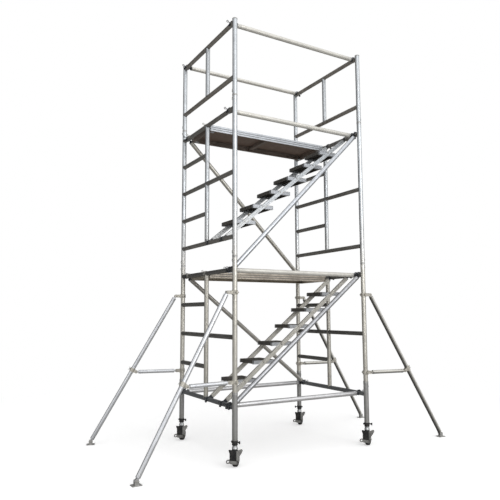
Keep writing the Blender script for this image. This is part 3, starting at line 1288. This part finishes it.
def stabiliser_detail(corner, place, direct):
    """Leg clamps, tube collars and rivets, and the coupler between arm and strut."""
    piece = Piece()
    for lug_x, lug_z in CLAMP_LUGS:
        clamp_detail(piece, place, direct, lug_x, lug_z)

    reach, slope, coupler = arm_shape(corner)
    top = np.array([ARM_LUG_X, 0, ARM_LUG_Z])
    down = np.array([reach, 0, FOOT[corner].z]) - top
    length = np.linalg.norm(down)
    down = down / length
    above = np.array([-down[2], 0, down[0]])
    for station in (0.037, 0.062, length - 0.062, length - 0.037, coupler - 0.045,
                    coupler + 0.040, length * 0.30):
        piece.pressed_collar(ARM_RADIUS, 0.0016, 0.004, place(top + down * station),
                             direct(down), 32)
    for station in (0.050, 0.075, length - 0.050, length - 0.075, coupler - 0.060,
                    coupler + 0.055):
        for side in (-1, 1):
            piece.rivet(place(top + down * station + (0, side * ARM_RADIUS, 0)),
                        direct((0, side, 0)), 0.0042, 0.0018, 1)

    centre = top + down * coupler
    rib = [(0.0341, -0.0028), (0.0356, -0.0022), (0.0356, 0.0022), (0.0341, 0.0028)]
    for offset in (-0.019, 0.019):
        piece.lathe(rib, place(centre + down * offset), direct(down), 36)
    piece.hex_bolt(place(centre + above * 0.0340), direct(above), 0.009, 0.008, 1)
    nut = centre + above * 0.0425
    for side in (-1, 1):
        wing = [nut + down * side * 0.003, nut + down * side * 0.012 + above * 0.004,
                nut + down * side * 0.021 + above * 0.012]
        piece.sweep(place(wing), [0.004, 0.0042, 0.0034], 10, slot=1)

    strut_start = np.array([STRUT_LUG_X, 0, STRUT_LUG_Z])
    strut = centre - above * STRUT_DROP - strut_start
    length = np.linalg.norm(strut)
    strut = strut / length
    for station in (0.038, 0.060, length - 0.060, length - 0.038):
        piece.pressed_collar(STRUT_RADIUS, 0.0014, 0.0035, place(strut_start + strut * station),
                             direct(strut), 30)
    for station in (0.049, length - 0.049):
        for side in (-1, 1):
            piece.rivet(place(strut_start + strut * station + (0, side * STRUT_RADIUS, 0)),
                        direct((0, side, 0)), 0.0040, 0.0018, 1)
    piece.make("stabiliser_detail_" + corner, "stabiliser_" + corner,
               ["clamp", "bolt", CORNER_ARM[corner]], "stabiliser")


# corners of the foot plate's rim: (x, y)
FOOT_RIM = [(-0.048, -0.0405), (0.048, -0.0405), (0.0505, -0.038), (0.0505, 0.038),
            (0.048, 0.0405), (-0.048, 0.0405), (-0.0505, 0.038), (-0.0505, -0.038)]


def foot_detail(corner, place, direct):
    """Folded rim, grip bars, washers, cheek edges and wing of a foot."""
    piece = Piece()
    foot = np.array([arm_shape(corner)[0], 0, 0])
    pivot = foot + (0, 0, FOOT[corner].z)
    rim = subdivide([foot + (x, y, 0.0068) for x, y in FOOT_RIM], True)
    piece.sweep(place(rim), 0.0021, 8, True)
    for x in (-0.036, 0.036):
        for k in range(5):
            piece.box(place(foot + (x, -0.014 + k * 0.007, 0.0078)), (0.018, 0.0022, 0.0020),
                      turn_z(ARM_HEADING[corner]), 0.0006)
    washer = [(0.0067, 0.0069), (0.0105, 0.0069), (0.0108, 0.0076), (0.0102, 0.0083),
              (0.0067, 0.0083)]
    for x, y in itertools.product((-0.040, 0.040), (-0.031, 0.031)):
        piece.lathe(washer, place(foot + (x, y, 0)), Z_AXIS, 20, 1)
    pivot_washer = [(0.0075, -0.0005), (0.0112, -0.0005), (0.0115, 0.0004), (0.0110, 0.0010),
                    (0.0075, 0.0010)]
    for side in (-1, 1):
        for end in (-1, 1):
            edge = [(end * x, side * 0.0178, z)
                    for x, z in ((0.0215, 0.009), (0.0216, 0.032), (0.0215, 0.053))]
            piece.sweep(place(foot + edge), 0.0030, 8)
        piece.lathe(pivot_washer, place(pivot + (0, side * 0.0211, 0)), direct((0, side, 0)),
                    22, 1)
    for side in (-1, 1):
        wing = [(side * x, 0.030 + y, 0)
                for x, y in ((0.006, 0), (0.015, 0.001), (0.0235, 0.0025))]
        piece.sweep(place(pivot + wing), [0.0040, 0.0046, 0.0036], 10, slot=1)
    piece.make("foot_detail_" + corner, "foot_" + corner, ["foot", "bolt"], "foot")


for corner in LEGS:
    place, direct = leg_frame(corner, ARM_HEADING[corner])
    stabiliser_detail(corner, place, direct)
    foot_detail(corner, place, direct)


# ---------------------------------------------------------------- caps
def cap_rings():
    """Rings and grip ribs on the caps of the legs."""
    piece = Piece()
    top = box("leg_caps")[1].z
    for x, y in LEGS.values():
        for radius, drop, wire in ((0.0275, 0.0125, 0.0012), (0.0262, 0.0075, 0.0010),
                                   (0.0125, 0.0002, 0.0010)):
            piece.ring((x, y, top - drop), radius, wire, 40, sides=6)
        for k in range(10):
            angle = k * math.pi / 5
            piece.box(radial(angle) * 0.0284 + (x, y, top - 0.0128), (0.0012, 0.0055, 0.0062),
                      turn_z(angle), 0.0004)
    piece.make("leg_cap_rings", "tower", ["cap"], "cap")


cap_rings()

# ---------------------------------------------------------------- stage, light and camera
# directions across and into the view, both level
YAW = math.radians(30.16)
VIEW_RIGHT = Vector((math.cos(YAW), -math.sin(YAW), 0))
VIEW_AHEAD = Vector((math.sin(YAW), math.cos(YAW), 0))
scene = bpy.context.scene


def add_to_scene(name, data):
    item = bpy.data.objects.new(name, data)
    scene.collection.objects.link(item)
    return item


def floor_material():
    """Pale floor fading to the white surround; darker to rays not from the camera."""
    material = bpy.data.materials.new("mat_floor")
    graph = Graph(material)
    white = (1, 1, 1, 1)
    diffuse = graph.node("BsdfDiffuse", {"Color": (0.90, 0.90, 0.90, 1)})
    glow = graph.node("Emission", {"Color": white, "Strength": 0.42})
    near = graph.node("AddShader", {0: diffuse, 1: glow})
    far = graph.node("Emission", {"Color": white, "Strength": 1.0})
    position = graph.node("NewGeometry", out="Position")
    distance = graph.node("VectorMath", {0: position}, "Value", operation="LENGTH")
    fade = graph.remap(distance, low=2.6, high=6.5, interpolation_type="SMOOTHSTEP")
    seen = graph.node("MixShader", {0: fade, 1: near, 2: far})
    unseen = graph.node("BsdfDiffuse", {"Color": (0.42, 0.415, 0.40, 1)})
    from_camera = graph.node("LightPath", out="Is Camera Ray")
    surface = graph.node("MixShader", {0: from_camera, 1: unseen, 2: seen})
    graph.node("OutputMaterial", {0: surface})
    return material


def studio_floor(half=60.0):
    material = floor_material()
    mesh = bpy.data.meshes.new("studio_floor")
    corners = [(-half, -half, 0), (half, -half, 0), (half, half, 0), (-half, half, 0)]
    mesh.from_pydata(corners, [], [(0, 1, 2, 3)])
    mesh.materials.append(material)
    mesh.polygons.foreach_set("use_smooth", [True])
    add_to_scene("studio_floor", mesh)


def studio_world():
    """White to the camera; to other rays a grey gradient, brightest towards the key light."""
    world = bpy.data.worlds.new("studio")
    scene.world = world
    graph = Graph(world)
    key_direction = (VIEW_RIGHT * 0.42 - VIEW_AHEAD * 0.62 + Vector((0, 0, 0.46))).normalized()
    coords = graph.node("TexCoord", out="Generated")
    facing = graph.node("VectorMath", {0: coords, 1: key_direction}, "Value",
                        operation="DOT_PRODUCT")
    gradient = graph.ramp(graph.remap(facing, low=-1.0, high=1.0),
                          (0.0, 0.03), (0.34, 0.06), (0.50, 0.30), (0.68, 0.70), (0.9, 0.95))
    unseen = graph.node("Background", {"Color": gradient, "Strength": 1.0})
    seen = graph.node("Background", {"Color": (1, 1, 1, 1), "Strength": 1.0})
    from_camera = graph.node("LightPath", out="Is Camera Ray")
    surface = graph.node("MixShader", {0: from_camera, 1: unseen, 2: seen})
    graph.node("OutputWorld", {0: surface})


def area_light(name, right, ahead, up, size, power, colour=(1, 1, 1)):
    """Square light placed from the tower's middle and aimed at it."""
    target = CENTRE + Vector((0, 0, 2.7))
    light = bpy.data.lights.new(name, "AREA")
    light.shape = "RECTANGLE"
    light.size = light.size_y = size
    light.energy = power
    light.color = colour
    item = add_to_scene(name, light)
    item.location = target + VIEW_RIGHT * right + VIEW_AHEAD * ahead + Vector((0, 0, up))
    item.rotation_mode = "QUATERNION"
    item.rotation_quaternion = (target - item.location).to_track_quat("-Z", "Y")


def photo_camera():
    pitch, roll = math.radians(6.608), math.radians(-0.185)
    lens = bpy.data.cameras.new("photo_camera")
    lens.sensor_width = 36.0
    lens.lens = 39.073
    lens.clip_end = 300
    camera = add_to_scene("photo_camera", lens)
    camera.rotation_mode = "QUATERNION"
    ahead = VIEW_AHEAD * math.cos(pitch) + Vector((0, 0, math.sin(pitch)))
    up = VIEW_RIGHT.cross(ahead)
    rolled_right = VIEW_RIGHT * math.cos(roll) + up * math.sin(roll)
    rolled_up = up * math.cos(roll) - VIEW_RIGHT * math.sin(roll)
    turn = Matrix((rolled_right, rolled_up, -ahead)).transposed()
    camera.rotation_quaternion = turn.to_quaternion()
    # the camera stands off from the front left leg at base rung height
    front_left = CENTRE + Vector((-HALF_X, -HALF_Y, Z_BASE))
    camera.location = front_left + Vector((-3.0769, -5.6551, 1.0847))
    scene.camera = camera


studio_floor()
studio_world()
area_light("key", right=5.0, ahead=-8.0, up=2.2, size=6, power=260)
area_light("fill", right=-7.0, ahead=-6.0, up=2.0, size=6, power=40, colour=(0.96, 0.98, 1.0))
area_light("top", right=0.0, ahead=0.0, up=8.5, size=8, power=80)
photo_camera()
scene.view_settings.view_transform = "Standard"
scene.view_settings.exposure = 0.0
